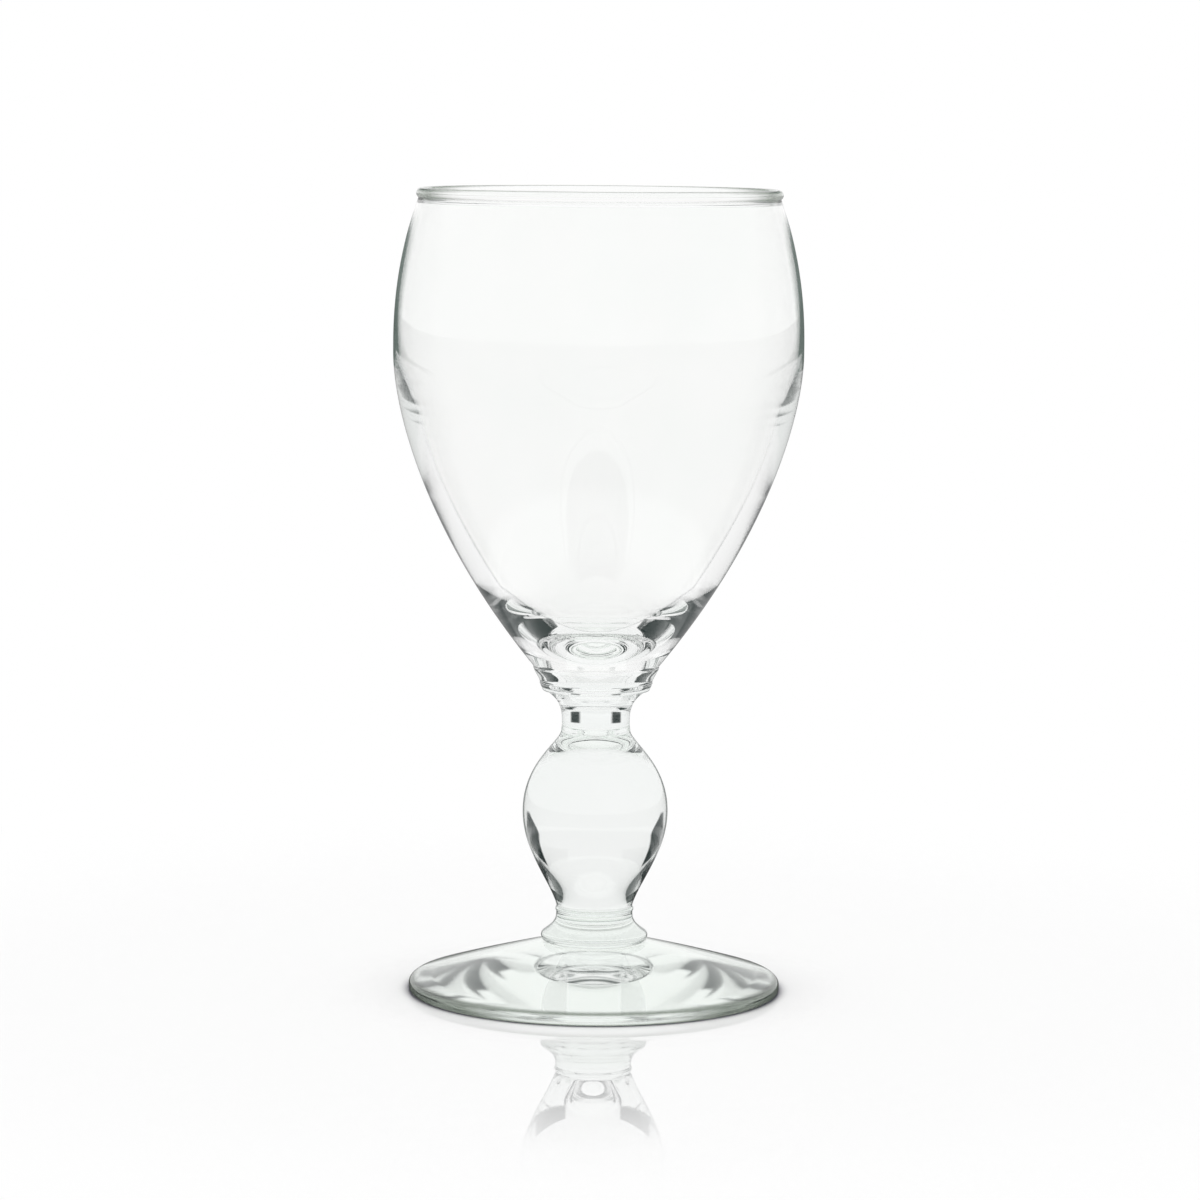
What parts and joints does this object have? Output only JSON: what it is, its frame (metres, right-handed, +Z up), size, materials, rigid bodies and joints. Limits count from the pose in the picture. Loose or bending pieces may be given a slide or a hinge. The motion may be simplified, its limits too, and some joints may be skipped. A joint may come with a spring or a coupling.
{
  "type": "short-stemmed whisky goblet",
  "caption": "Short-stemmed clear glass goblet for hot whisky drinks: tulip bowl with a beaded rim, ringed collar, baluster stem, flared collar and spreading hollow foot.",
  "frame": {"origin": "centre of the foot's underside, on the plane that the standing ring rests on", "axes": "+Z up along the axis that every piece was turned about; +X and +Y are alike, because the glass is round"},
  "size_m": [0.0692, 0.0692, 0.1365],
  "materials": {
    "bowl_glass": "fire-polished",
    "upper_collar_glass": "fire-polished",
    "stem_glass": "fire-polished",
    "lower_collar_glass": "fire-polished",
    "foot_glass": "fire-polished"
  },
  "bodies": {
    "root": {"bowl": "bowl_glass", "upper_collar": "upper_collar_glass", "baluster_stem": "stem_glass", "lower_collar": "lower_collar_glass", "foot": "foot_glass"}
  },
  "joints": []
}
